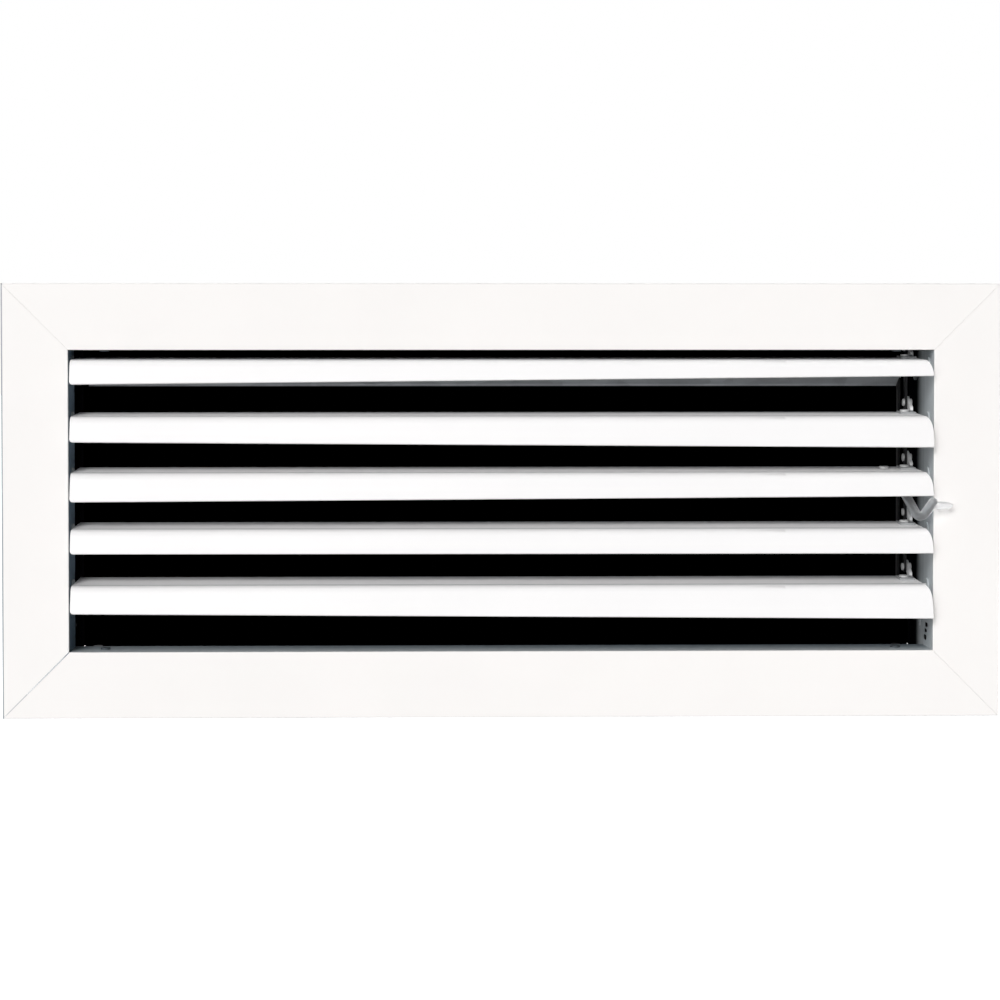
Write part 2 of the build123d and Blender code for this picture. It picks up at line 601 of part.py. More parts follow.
def outlet():
    """Every piece of the outlet, by name."""
    pieces = frame() | neck()
    for side_z, row in ((1, "top"), (-1, "bottom")):
        for side_x, column in ((-1, "left"), (1, "right")):
            pieces[f"corner_key_{row}_{column}"] = corner_key(side_x, side_z)
    for side, name in ((-1, "left"), (1, "right")):
        pieces[f"{name}_blade_bushes"] = bushes(side, HALF_W, WALL_OUT_X, PIVOT_Y, PIVOT_Z, BUSH_R, PIN_R)
        pieces[f"{name}_shutter_bushes"] = bushes(side, WALL_X, WALL_OUT_X, SHUTTER_Y, SHUTTER_Z,
                                                  SHUTTER_BUSH_R, SHUTTER_PIN_R)
    pieces["frame_rivets"] = frame_rivets()
    pieces["neck_rivets"] = neck_rivets()
    for i in range(BLADE_COUNT):
        pieces[f"blade_{i + 1}"] = blade(i)
        pieces[f"blade_{i + 1}_crank"] = crank(i)
        pieces[f"blade_{i + 1}_pins"] = blade_pins(i)
        pieces[f"shutter_{i + 1}"] = shutter(SHUTTER_Z[i])
        pieces[f"shutter_{i + 1}_pins"] = shutter_pins(SHUTTER_Z[i])
    pieces["tie_bar"] = tie_bar()
    pieces["blade_handle"] = handle()
    pieces["handle_rivet"] = handle_rivet()
    pieces["shutter_bar"] = shutter_bar()
    return pieces


os.makedirs("parts", exist_ok=True)
for name, piece in outlet().items():
    export_step(piece, f"parts/{name}.step")
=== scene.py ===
"""Ceiling air outlet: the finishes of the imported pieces, and the studio stage that they are shown on."""

import json
import math

import bpy
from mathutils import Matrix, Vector


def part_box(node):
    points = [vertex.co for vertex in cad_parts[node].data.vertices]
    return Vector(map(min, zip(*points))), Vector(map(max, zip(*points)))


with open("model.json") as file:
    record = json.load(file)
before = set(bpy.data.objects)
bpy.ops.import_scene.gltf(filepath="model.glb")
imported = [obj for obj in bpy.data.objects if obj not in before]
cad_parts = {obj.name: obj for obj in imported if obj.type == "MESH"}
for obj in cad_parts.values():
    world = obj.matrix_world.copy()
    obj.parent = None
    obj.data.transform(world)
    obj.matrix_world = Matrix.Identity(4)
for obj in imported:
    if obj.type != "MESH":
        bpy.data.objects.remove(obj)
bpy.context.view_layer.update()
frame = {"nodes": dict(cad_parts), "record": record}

bl_info = {
    "name": "Ceiling Air Outlet",
    "version": (1, 0, 0),
    "blender": (4, 5, 0),
    "location": "3D View > Sidebar > Air Outlet",
    "description": "Paints and plates the pieces of a ceiling air outlet and sets up its studio stage",
    "category": "Object",
}

# Places and lengths read from the frame, in metres
OUTER_HALF_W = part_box("frame_right")[1].x
OUTER_HALF_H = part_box("frame_top")[1].z
OPENING_HALF_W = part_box("frame_right")[0].x
OPENING_HALF_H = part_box("frame_top")[0].z
FACE_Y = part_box("frame_top")[0].y
LIP_BACK_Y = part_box("frame_top")[1].y
LIP_L = LIP_BACK_Y - FACE_Y
SLOT_FRONT_Y = FACE_Y + LIP_L / 4
NECK_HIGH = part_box("neck_right")[1]
NECK_SHEET_HALF_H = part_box("neck_top")[1].z
BLADE_BACK_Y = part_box("blade_1")[1].y
CRANK_LOW_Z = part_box("blade_5_crank")[0].z
CRANK_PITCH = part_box("blade_4_crank")[0].z - CRANK_LOW_Z

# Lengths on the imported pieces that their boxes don't give, in metres
LIP_T = 0.0014
SHEET_T = 0.001
BLADE_LEG_L = 0.0275
GROOVE_FROM_BACK = 0.0252
CRANK_FOOT_H = 0.0011

# Width of the soft edge between two finishes, in metres
HAIR = 0.0002

# Shares of painted shade and painted light on a finish, of their speckles, and of dirt in the mitre
SPECK_REACH = 0.3
RIGHT_LIP_LIT = 0.75
LEFT_EDGE_SHADE = 0.7
BORDER_DARKENING = 0.08
JOINT_DIRT = 0.9
JOINT_FADE = 0.6
LEG_SHADE = 0.70
LEG_SPECKS = 0.25
GROOVE_SHADE = 0.45
CRANK_FOOT_SHADE = 0.8
BUSH_HEAD_LIP_SHADE = 0.7
WALL_LIGHT_FADE = 0.6

# Tones that one piece takes from another's colour
WALL_LIGHT_TONE = 0.8
PIN_TONE = 0.7
FRAME_RIVET_TONE = 0.4

# Constants of the zinc, the lining and the nylon
ZINC_METALLIC = 0.4
LINING_GLOSS_LOSS = 0.4
HANDLE_IOR = 1.3

# Scales that draw a noise out along one axis, in lumps a metre
SHEET_STREAKS = (6.0, 60.0, 60.0)
DRAWING_LINES = (300.0, 300.0, 2500.0)
CASTING_FLOW = (60.0, 200.0, 60.0)

# Stage
FLOOR_WIDTH = 40.0
FLOOR_COLOUR = (0.80, 0.80, 0.80, 1.0)
FLOOR_GLOW = 0.55
WHITE = (1.0, 1.0, 1.0, 1.0)
BLACK = (0.0, 0.0, 0.0, 1.0)


class Signal:
    """A value in a shader. Arithmetic on it adds Math nodes to the finish that it belongs to."""

    def __init__(self, finish, socket):
        self.finish = finish
        self.socket = socket

    def math(self, operation, first, second):
        """Adds one Math node."""
        return self.finish.node("ShaderNodeMath", {"operation": operation}, {0: first, 1: second})

    def __add__(self, other):
        return self.math("ADD", self, other)

    def __sub__(self, other):
        return self.math("SUBTRACT", self, other)

    def __rsub__(self, other):
        return self.math("SUBTRACT", other, self)

    def __mul__(self, other):
        return self.math("MULTIPLY", self, other)

    def __mod__(self, other):
        return self.math("MODULO", self, other)

    def __abs__(self):
        return self.math("ABSOLUTE", self, 0.0)

    __radd__ = __add__
    __rmul__ = __mul__


class Finish:
    """A node tree for one material or for the world, with the one method that adds its nodes."""

    def __init__(self, owner):
        owner.use_nodes = True
        self.owner = owner
        self.tree = owner.node_tree
        self.tree.nodes.clear()

    def node(self, kind, settings=None, sockets=None, output=0):
        """Adds a node, sets it up, then fills or links its sockets. Returns an output, if it has any."""
        made = self.tree.nodes.new(kind)
        for name, value in (settings or {}).items():
            setattr(made, name, value)
        for name, value in (sockets or {}).items():
            if isinstance(value, Signal):
                self.tree.links.new(value.socket, made.inputs[name])
            else:
                made.inputs[name].default_value = value
        return Signal(self, made.outputs[output]) if made.outputs else None

    def place(self):
        """The point on the piece, in metres."""
        return self.node("ShaderNodeTexCoord", output="Object")

    def axes(self, point):
        """The three parts of a point, as values."""
        split = self.node("ShaderNodeSeparateXYZ", None, {0: point})
        return [Signal(self, socket) for socket in split.socket.node.outputs]

    def noise(self, point, size, detail=2.0, roughness=0.5):
        """Cloudy noise, from 0 to 1, with lumps of about the given size."""
        sockets = {"Vector": point, "Scale": 1.0 / size, "Detail": detail, "Roughness": roughness}
        return self.node("ShaderNodeTexNoise", None, sockets, "Fac")

    def streaks(self, point, scale, detail):
        """Noise whose lumps are long on the axes with a low scale."""
        stretched = self.node("ShaderNodeMapping", None, {"Vector": point, "Scale": scale})
        return self.noise(stretched, 1.0, detail)

    def between(self, value, low, high):
        """0 below low, 1 above high and a smooth rise from one to the other."""
        sockets = {"Value": value, "From Min": low, "From Max": high}
        return self.node("ShaderNodeMapRange", {"interpolation_type": "SMOOTHSTEP"}, sockets)

    def within(self, value, half, edge=HAIR):
        """1 where a value lies between -half and half, and 0 outside."""
        return 1 - self.between(abs(value), half, half + edge)

    def mix(self, share, first, second):
        """Two colours mixed."""
        colours = [c if isinstance(c, Signal) else (*c, 1.0) for c in (first, second)]
        settings = {"data_type": "RGBA", "clamp_factor": True}
        return self.node("ShaderNodeMix", settings, {0: share, 6: colours[0], 7: colours[1]}, 2)

    def mottled(self, first, second, pattern, low, high, most=1.0):
        """A colour that turns to a second one, by the given share at most, as a pattern rises."""
        return self.mix(self.between(pattern, low, high) * most, first, second)

    def bump(self, height, depth):
        """A normal from a height, whose full range is the given depth."""
        return self.node("ShaderNodeBump", None, {"Height": height, "Distance": depth, "Strength": 1.0})

    def surface(self, sockets):
        """The material, with its main shader and its output."""
        shader = self.node("ShaderNodeBsdfPrincipled", None, sockets)
        self.node("ShaderNodeOutputMaterial", None, {"Surface": shader})
        return self.owner


def new_finish(name):
    """An empty finish on a new material."""
    return Finish(bpy.data.materials.new(name))


def scaled(colour, share):
    """A colour made lighter or darker."""
    return tuple(part * share for part in colour)


def nodes_of(slot):
    """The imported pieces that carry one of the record's material slots."""
    rows = frame["record"]["subparts"]
    found = [frame["nodes"][row["node"]] for row in rows if row["material_slot"] == slot]
    if not found:
        raise RuntimeError(f"no piece has the slot {slot}")
    return found


def coat(pieces, material):
    """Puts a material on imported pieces."""
    for piece in pieces:
        piece.data.materials.clear()
        piece.data.materials.append(material)


def powder_coat(finish, point, colour, settings):
    """Sockets of a powder coat: an even colour with faint clouds, a fine orange peel and a satin gloss."""
    clouds = finish.noise(point, settings.cloud_size, detail=3.0)
    grains = finish.noise(point, settings.peel_size / 3)
    peel = finish.noise(point, settings.peel_size, roughness=0.4)
    tint = finish.mottled(colour, scaled(colour, 0.985), clouds, low=0.35, high=0.70)
    tint = finish.mottled(tint, scaled(colour, 0.94), grains, low=0.62, high=0.80, most=0.25)
    return {
        "Base Color": tint,
        "Roughness": 0.40 + clouds * 0.08,
        "Normal": finish.bump(peel, settings.peel_depth),
        "Specular IOR Level": 0.3,
    }


def speckle_noise(finish, point, settings):
    """Uneven speckled noise, from 0 to 1, that breaks up the painted shade on the lips and on the blades'
    legs.
    """
    return finish.noise(point, settings.speckle_size, detail=4.0, roughness=0.6)


def lip_shade_tone(finish, point, settings):
    """Painted shade on the lips: darker towards the back with a speckled edge, less so on the lit right lip,
    and dark on the left lip, which faces away from the light.
    """
    x, y, _ = finish.axes(point)
    specks = speckle_noise(finish, point, settings)
    # Painted shade that deepens from the lips' front to their back
    deep = finish.between(y + specks * (SPECK_REACH * LIP_L), FACE_Y, LIP_BACK_Y)
    # Painted light: the right lip, which faces the light, takes less of the deep shade
    deep = deep * (1 - finish.within(x - OPENING_HALF_W, HAIR) * RIGHT_LIP_LIT)
    front_to_back_shade = finish.mix(deep, settings.lip_shade_tint, settings.deep_shade_tint)
    # Painted shade: the left lip takes the dark shade tint
    return finish.mix(finish.within(x + OPENING_HALF_W, HAIR), front_to_back_shade, settings.shade_and_dirt_tint)


def front_shade_and_dirt(finish, point):
    """Share of darkening on the flange's front: painted shade along its left edge, darker top and bottom
    borders, and dirt in its lower left mitre.
    """
    x, y, z = finish.axes(point)
    leftward = x * -1
    # Painted shade along the left outer edge
    edge = finish.between(leftward, OUTER_HALF_W - 4 * HAIR, OUTER_HALF_W - 3 * HAIR)
    # Darker along the top and bottom borders
    border = finish.between(abs(z), OUTER_HALF_H - 4 * HAIR, OUTER_HALF_H - 2 * HAIR)
    joint = finish.within(x - z + (OPENING_HALF_W - OPENING_HALF_H), HAIR)
    joint = joint * finish.between(leftward, OPENING_HALF_W, OPENING_HALF_W + HAIR)
    joint = joint * (JOINT_DIRT - finish.between(leftward, OPENING_HALF_W, OUTER_HALF_W) * JOINT_FADE)
    front = 1 - finish.between(y, FACE_Y + 4 * HAIR, FACE_Y + 6 * HAIR)
    return (edge * LEFT_EDGE_SHADE + border * BORDER_DARKENING + joint) * front


def frame_paint(settings):
    """Warm white powder coat, with painted shade on the lips and along the left edge, darker top and bottom
    borders, dirt in the lower left mitre, and black painted shade in the punched slots.
    """
    finish = new_finish("warm_white_powder_coat")
    point = finish.place()
    x, y, z = finish.axes(point)
    sockets = powder_coat(finish, point, settings.frame_colour, settings)
    lips = finish.within(x, OPENING_HALF_W + HAIR) * finish.within(z, OPENING_HALF_H + HAIR)
    lips = lips * finish.between(y, FACE_Y + HAIR, FACE_Y + 4 * HAIR)
    # Painted shade: the walls of the punched slots in the right lip take the black lining tint
    slots = finish.within(x - (OPENING_HALF_W + LIP_T / 2), LIP_T / 2 - HAIR)
    slots = slots * finish.within(z, OPENING_HALF_H)
    slots = slots * finish.between(y, SLOT_FRONT_Y, SLOT_FRONT_Y + HAIR)
    tint = finish.mix(front_shade_and_dirt(finish, point), sockets["Base Color"], settings.shade_and_dirt_tint)
    tint = finish.mix(lips, tint, lip_shade_tone(finish, point, settings))
    sockets["Base Color"] = finish.mix(slots, tint, settings.lining_and_shade_tint)
    return finish.surface(sockets)


def blade_paint(settings):
    """White powder coat, with painted shade that deepens towards the back of the legs, broken up by
    speckles, and a painted shade line along the groove.
    """
    finish = new_finish("white_powder_coat")
    point = finish.place()
    _, y, _ = finish.axes(point)
    sockets = powder_coat(finish, point, settings.blade_colour, settings)
    # Painted shade towards the back of each leg, where the blade above shades it
    leg_shade_share = finish.between(y, BLADE_BACK_Y - BLADE_LEG_L / 2, BLADE_BACK_Y)
    # A painted shade line along the groove
    groove = finish.within(y - (BLADE_BACK_Y - GROOVE_FROM_BACK), 4 * HAIR, 8 * HAIR)
    specks = speckle_noise(finish, point, settings)
    share = leg_shade_share * (LEG_SHADE + specks * LEG_SPECKS) + groove * GROOVE_SHADE
    sockets["Base Color"] = finish.mix(share, sockets["Base Color"], settings.leg_shade_tint)
    return finish.surface(sockets)


def galvanised(finish, point, colour, settings):
    """Sockets of galvanised sheet: flat crystals of zinc, each with its own grey, under dull streaks."""
    wander = finish.noise(point, settings.spangle_size)
    crystals = finish.node("ShaderNodeTexVoronoi", None,
                           {"Vector": point, "Scale": 1.0 / settings.spangle_size}, "Color")
    level = finish.node("ShaderNodeSeparateColor", None, {0: crystals})
    streaks = finish.streaks(point, SHEET_STREAKS, detail=3.0)
    grey = finish.mix(level * 0.6 + wander * 0.4, scaled(colour, 0.78), scaled(colour, 1.12))
    return {
        "Base Color": finish.mottled(grey, scaled(colour, 0.82), streaks, low=0.50, high=0.72, most=0.5),
        "Metallic": ZINC_METALLIC,
        "Roughness": 0.36 + level * 0.16 + streaks * 0.08,
        "Normal": finish.bump(wander, settings.sheet_ripple),
    }


def shutter_sheet(settings):
    """Galvanised sheet of the damper shutters."""
    finish = new_finish("galvanised_shutter")
    return finish.surface(galvanised(finish, finish.place(), settings.zinc_colour, settings))


def lined_sheet(settings):
    """Galvanised neck walls with a matt black lining inside, which also stands for the shade deep in the
    neck, black painted shade on the right wall behind the lip's slots, and painted light on the right wall
    just behind the lip.
    """
    finish = new_finish("lined_galvanised_neck")
    point = finish.place()
    x, y, z = finish.axes(point)
    sockets = galvanised(finish, point, settings.zinc_colour, settings)
    behind = finish.between(y, LIP_BACK_Y + HAIR, LIP_BACK_Y + 2 * HAIR)
    # The right wall's inner face, black as painted shade where it shows through the lip's slots
    right_face = finish.within(x - (NECK_HIGH.x - SHEET_T), HAIR)
    inside = finish.within(x, NECK_HIGH.x - SHEET_T / 2)
    inside = inside * finish.within(z, NECK_SHEET_HALF_H - SHEET_T / 2)
    inside = inside * finish.between(behind + right_face, 0.0, 1.0)
    # Painted light on the right wall just behind the lip: the lips' shade tint, fading into the black lining
    wall_light_end = LIP_BACK_Y + settings.wall_light_depth
    lip_toned = 1 - finish.between(y, wall_light_end - WALL_LIGHT_FADE * settings.wall_light_depth, wall_light_end)
    lip_toned = lip_toned * behind * finish.between(x, NECK_HIGH.x - 2 * SHEET_T, NECK_HIGH.x - 1.5 * SHEET_T)
    lining = finish.mix(lip_toned, settings.lining_and_shade_tint, scaled(settings.lip_shade_tint, WALL_LIGHT_TONE))
    sockets["Base Color"] = finish.mix(inside, sockets["Base Color"], lining)
    sockets["Metallic"] = ZINC_METALLIC - inside * ZINC_METALLIC
    sockets["Roughness"] = inside * LINING_GLOSS_LOSS + sockets["Roughness"]
    sockets["Specular IOR Level"] = 0.0
    return finish.surface(sockets)


def plated(finish, point, colour, settings):
    """Sockets of zinc plate: a pale grey with fine drawing lines and dull patches."""
    lines = finish.streaks(point, DRAWING_LINES, detail=2.0)
    patches = finish.noise(point, settings.patch_size, detail=3.0)
    return {
        "Base Color": finish.mottled(colour, scaled(colour, 0.86), patches, low=0.45, high=0.72),
        "Metallic": 0.15,
        "Roughness": 0.34 + lines * 0.12 + patches * 0.10,
        "Normal": finish.bump(lines, settings.drawing_depth),
    }


def pin_plate(settings):
    """Zinc plate of the pins and the blades' rivets, duller than the cranks'."""
    finish = new_finish("zinc_plate")
    colour = scaled(settings.plate_colour, PIN_TONE)
    return finish.surface(plated(finish, finish.place(), colour, settings))


def crank_plate(settings):
    """Zinc plate of the cranks, with the legs' painted shade on the feet."""
    finish = new_finish("foot_shaded_zinc_plate")
    point = finish.place()
    _, _, z = finish.axes(point)
    sockets = plated(finish, point, settings.plate_colour, settings)
    height = (z - CRANK_LOW_Z) % CRANK_PITCH
    # Painted shade on the feet, which lie on the shaded legs
    foot = 1 - finish.between(height, CRANK_FOOT_H, CRANK_FOOT_H + 2 * HAIR)
    sockets["Base Color"] = finish.mix(foot * CRANK_FOOT_SHADE, sockets["Base Color"], settings.leg_shade_tint)
    return finish.surface(sockets)


def lined_rivet(settings):
    """Zinc-plated rivets of the neck, blacked inside with the lining tint, which also stands for the shade
    in the neck.
    """
    finish = new_finish("lined_zinc_plate")
    point = finish.place()
    _, _, z = finish.axes(point)
    sockets = plated(finish, point, settings.plate_colour, settings)
    inside = finish.within(z, NECK_SHEET_HALF_H - SHEET_T / 2)
    sockets["Base Color"] = finish.mix(inside, sockets["Base Color"], settings.lining_and_shade_tint)
    return finish.surface(sockets)


def blackened(name, colour, settings):
    """Blackened steel: a dark colour with an oily sheen that wears paler in small rubbed spots."""
    finish = new_finish(name)
    point = finish.place()
    rubbed = finish.noise(point, settings.patch_size / 2, detail=4.0, roughness=0.6)
    wear = finish.between(rubbed, 0.66, 0.80)
    return finish.surface({
        "Base Color": finish.mix(wear * 0.6, colour, scaled(colour, 3.0)),
        "Metallic": 0.5,
        "Roughness": 0.55 - wear * 0.15,
        "Normal": finish.bump(rubbed, settings.drawing_depth),
    })


def die_cast(settings):
    """Die-cast alloy of the corner keys: a pale grey skin with flow marks and a slightly sandy face."""
    finish = new_finish("die_cast_alloy")
    point = finish.place()
    colour = settings.cast_colour
    flow = finish.streaks(point, CASTING_FLOW, detail=3.0)
    sand = finish.noise(point, settings.grain_size)
    return finish.surface({
        "Base Color": finish.mottled(colour, scaled(colour, 0.85), flow, low=0.35, high=0.75),
        "Metallic": 0.8,
        "Roughness": 0.48 + sand * 0.14,
        "Normal": finish.bump(sand, settings.grain_depth),
    })


def moulded(finish, point, colour, settings):
    """Sockets of moulded nylon: slightly uneven in tone, with the spark-eroded grain of its mould."""
    grain = finish.noise(point, settings.grain_size, detail=3.0, roughness=0.6)
    tone = finish.noise(point, settings.patch_size)
    return {
        "Base Color": finish.mottled(colour, scaled(colour, 0.92), tone, low=0.35, high=0.75),
        "Roughness": 0.32 + grain * 0.16,
        "Normal": finish.bump(grain, settings.grain_depth),
        "Specular IOR Level": 0.45,
    }


def bush_nylon(settings):
    """Grey nylon of the bushes, with the lips' painted shade grey on the heads that stand in the opening."""
    finish = new_finish("grey_nylon")
    point = finish.place()
    x, _, _ = finish.axes(point)
    sockets = moulded(finish, point, settings.bush_colour, settings)
    # The heads in the opening take the lips' painted shade tint
    lip_toned = finish.within(x, OPENING_HALF_W - HAIR) * BUSH_HEAD_LIP_SHADE
    sockets["Base Color"] = finish.mix(lip_toned, sockets["Base Color"], settings.lip_shade_tint)
    return finish.surface(sockets)


def handle_nylon(settings):
    """Milky nylon of the handle, which lets light through."""
    finish = new_finish("milky_nylon")
    sockets = moulded(finish, finish.place(), settings.handle_colour, settings)
    sockets["Transmission Weight"] = settings.handle_clear
    sockets["IOR"] = HANDLE_IOR
    return finish.surface(sockets)


def colour_value(name, description, default):
    """A colour that a user can set."""
    return bpy.props.FloatVectorProperty(name=name, description=description, default=default,
                                         subtype="COLOR", size=3, min=0.0, max=1.0)


def length_value(name, description, default):
    """A length that a user can set."""
    return bpy.props.FloatProperty(name=name, description=description, default=default, min=0.0,
                                   subtype="DISTANCE", unit="LENGTH", precision=5)


def place_value(name, description, default):
    """A place that a user can set."""
    return bpy.props.FloatVectorProperty(name=name, description=description, default=default, size=3,
                                         subtype="TRANSLATION", unit="LENGTH", precision=4)


def share_value(name, description, default):
    """A share that a user can set."""
    return bpy.props.FloatProperty(name=name, description=description, default=default, subtype="FACTOR",
                                   min=0.0, max=1.0)


def spread_value(name, description, degrees):
    """A light's width in the sky that a user can set."""
    return bpy.props.FloatProperty(name=name, description=description, default=math.radians(degrees),
                                   subtype="ANGLE", min=0.0)


def strength_value(name, description, default):
    """The strength of an even light that a user can set."""
    return bpy.props.FloatProperty(name=name, description=description, default=default, min=0.0)


def power_value(name, description, default):
    """A lamp's power that a user can set."""
    return bpy.props.FloatProperty(name=name, description=description, default=default, unit="POWER")


class OutletFinishSettings(bpy.types.PropertyGroup):
    """Colours and surface detail of the outlet's pieces, with the light and shade painted on them"""

    frame_colour: colour_value("Frame paint", "Warm white of the flange frame", (0.945, 0.922, 0.906))
    blade_colour: colour_value("Blade paint", "Cleaner white of the louvre blades", (0.93, 0.92, 0.92))
    # Painted shade: the grey at the front of the lips, also on the bushes' heads, and as painted light on
    # the right neck wall behind the lip
    lip_shade_tint: colour_value("Lip shade", "Grey of dust at the front of the lips, on bushes and the neck",
                              (0.56, 0.60, 0.62))
    # Painted shade on the left lip and along the flange's left edge, and dirt in its lower left mitre
    shade_and_dirt_tint: colour_value("Dirt", "Blue grey of the left lip and of the dirt on the flange's front",
                               (0.11, 0.16, 0.21))
    # Painted shade at the back of the lips, which also greys the rivets in the frame
    deep_shade_tint: colour_value("Deep lip shade", "Blue grey of dust at the back of the lips and on their rivets",
                              (0.15, 0.18, 0.20))
    # Painted shade towards the back of the blades' legs, along their groove and on the cranks' feet
    leg_shade_tint: colour_value("Leg shade", "Grey of the dust on the blades' legs and the cranks' feet",
                              (0.22, 0.23, 0.24))
    # Matt black lining inside the neck, which also stands for the shade there, and black painted shade in
    # the punched slots
    lining_and_shade_tint: colour_value("Lining", "Matt black inside the neck and in the punched slots",
                                (0.001, 0.001, 0.0015))
    zinc_colour: colour_value("Galvanised sheet", "Grey of the neck and the damper shutters",
                              (0.50, 0.52, 0.54))
    plate_colour: colour_value("Zinc plate", "Pale grey of the cranks, pins and rivets", (0.88, 0.88, 0.88))
    black_colour: colour_value("Blackened steel", "Black of the bars that gang the blades and the shutters",
                               (0.005, 0.005, 0.006))
    cast_colour: colour_value("Die-cast keys", "Grey of the corner keys", (0.66, 0.67, 0.68))
    bush_colour: colour_value("Bushes", "Grey of the bearing bushes", (0.16, 0.18, 0.19))
    handle_colour: colour_value("Handle", "Milky white of the hooked handle", (0.86, 0.87, 0.88))
    handle_clear: share_value("Handle clearness", "Share of light that passes through the handle", 0.93)
    # Width of the speckles that break up the painted shade
    speckle_size: length_value("Dust", "Width of one patch of dust", 0.004)
    # How far the painted light on the right neck wall reaches behind the lip
    wall_light_depth: length_value("Wall light depth", "How far dust reaches into the neck behind the lip", 0.022)
    peel_size: length_value("Orange peel", "Width of one ripple in the paint", 0.0014)
    peel_depth: length_value("Peel depth", "Height of a ripple in the paint", 0.000012)
    cloud_size: length_value("Paint clouds", "Width of the faint clouds in the paint", 0.060)
    spangle_size: length_value("Spangle", "Width of one zinc crystal", 0.007)
    sheet_ripple: length_value("Sheet ripple", "Height of the waves in the sheet", 0.00002)
    patch_size: length_value("Patches", "Width of a dull patch on a small part", 0.005)
    drawing_depth: length_value("Drawing lines", "Depth of fine marks in plated and black steel", 0.000006)
    grain_size: length_value("Grain", "Width of one grain in a moulded or cast face", 0.0004)
    grain_depth: length_value("Grain depth", "Depth of the grain in a moulded or cast face", 0.00001)


class OutletStageSettings(bpy.types.PropertyGroup):
    """Camera, light and floor"""

    camera_place: place_value("Camera", "Where the camera stands", (-0.042, -1.006, 0.080))
    camera_aim: place_value("Camera aim", "Point on the flange's plane that the camera faces",
                            (-0.0237, -0.006, 0.0545))
    lens: bpy.props.FloatProperty(name="Lens", description="Focal length of the camera", default=80.1,
                                  subtype="DISTANCE_CAMERA")
    shift_right: share_value("Shift right", "Lens shift to the right", 0.05)
    shift_down: share_value("Shift down", "Lens shift downwards", 0.12)
    floor_drop: length_value("Floor drop", "Distance from the outlet's lower edge down to the floor", 0.50)
    shadow_reach: length_value("Shadow reach", "Radius in which the floor shows the shadow", 1.1)
    key_place: place_value("Key light", "Where the even light from the upper left comes from",
                           (-0.85, -2.3, 1.25))
    key_spread: spread_value("Key spread", "Width of the key light in the sky", 25.0)
    key_strength: strength_value("Key strength", "Strength of the key light", 2.25)
    fill_place: place_value("Fill light", "Where the low even light from the left comes from",
                            (-1.6, -1.9, 0.08))
    fill_spread: spread_value("Fill spread", "Width of the fill light in the sky", 20.0)
    fill_strength: strength_value("Fill strength", "Strength of the fill light", 0.7)
    side_place: place_value("Side lamp", "Where the soft box at the right stands", (2.2, 0.5, 0.9))
    side_width: length_value("Side width", "Width of the side lamp", 1.4)
    side_power: power_value("Side power", "Power of the side lamp", 28.0)
    back_place: place_value("Back lamp", "Where the soft box behind the outlet stands", (-1.2, 2.3, 1.5))
    back_width: length_value("Back width", "Width of the back lamp", 1.6)
    back_power: power_value("Back power", "Power of the back lamp", 32.0)
    ambient: strength_value("Ambient", "Strength of the even light from all round", 0.10)


class OUTLET_OT_paint_frame(bpy.types.Operator):
    """Gives the four flange members their warm white powder coat"""

    bl_idname = "outlet.paint_frame"
    bl_label = "Paint Frame"

    def execute(self, context):
        settings = context.scene.outlet_finish
        coat(nodes_of("frame_paint"), frame_paint(settings))
        return {"FINISHED"}


class OUTLET_OT_paint_blades(bpy.types.Operator):
    """Gives the five louvre blades their white powder coat"""

    bl_idname = "outlet.paint_blades"
    bl_label = "Paint Blades"

    def execute(self, context):
        settings = context.scene.outlet_finish
        coat(nodes_of("blade_paint"), blade_paint(settings))
        return {"FINISHED"}


class OUTLET_OT_galvanise_sheets(bpy.types.Operator):
    """Galvanises the damper shutters and the neck walls, and lines the neck"""

    bl_idname = "outlet.galvanise_sheets"
    bl_label = "Galvanise Sheets"

    def execute(self, context):
        settings = context.scene.outlet_finish
        sheets = nodes_of("sheet_metal")
        coat([sheet for sheet in sheets if "shutter" in sheet.name], shutter_sheet(settings))
        coat([sheet for sheet in sheets if "neck" in sheet.name], lined_sheet(settings))
        return {"FINISHED"}


class OUTLET_OT_plate_fittings(bpy.types.Operator):
    """Zinc plates the cranks, the pins and the rivets"""

    bl_idname = "outlet.plate_fittings"
    bl_label = "Plate Fittings"

    def execute(self, context):
        settings = context.scene.outlet_finish
        fittings = nodes_of("plated_steel")
        coat(fittings, pin_plate(settings))
        coat([fitting for fitting in fittings if "crank" in fitting.name], crank_plate(settings))
        coat([fitting for fitting in fittings if "neck" in fitting.name], lined_rivet(settings))
        return {"FINISHED"}


class OUTLET_OT_blacken_bars(bpy.types.Operator):
    """Blackens the bars that gang the blades and the shutters, and the rivets in the frame"""

    bl_idname = "outlet.blacken_bars"
    bl_label = "Blacken Bars"

    def execute(self, context):
        settings = context.scene.outlet_finish
        dark = nodes_of("dark_steel")
        coat(dark, blackened("blackened_steel", settings.black_colour, settings))
        rivets = [piece for piece in dark if "rivets" in piece.name]
        # The rivets in the frame are greyed with a share of the lips' painted deep shade tint
        lip_toned = scaled(settings.deep_shade_tint, FRAME_RIVET_TONE)
        coat(rivets, blackened("greyed_blackened_steel", lip_toned, settings))
        return {"FINISHED"}


class OUTLET_OT_cast_keys(bpy.types.Operator):
    """Gives the corner keys their die-cast skin"""

    bl_idname = "outlet.cast_keys"
    bl_label = "Cast Keys"

    def execute(self, context):
        settings = context.scene.outlet_finish
        coat(nodes_of("key_metal"), die_cast(settings))
        return {"FINISHED"}


class OUTLET_OT_mould_bushes(bpy.types.Operator):
    """Gives the bearing bushes their grey nylon"""

    bl_idname = "outlet.mould_bushes"
    bl_label = "Mould Bushes"

    def execute(self, context):
        settings = context.scene.outlet_finish
        coat(nodes_of("nylon"), bush_nylon(settings))
        return {"FINISHED"}


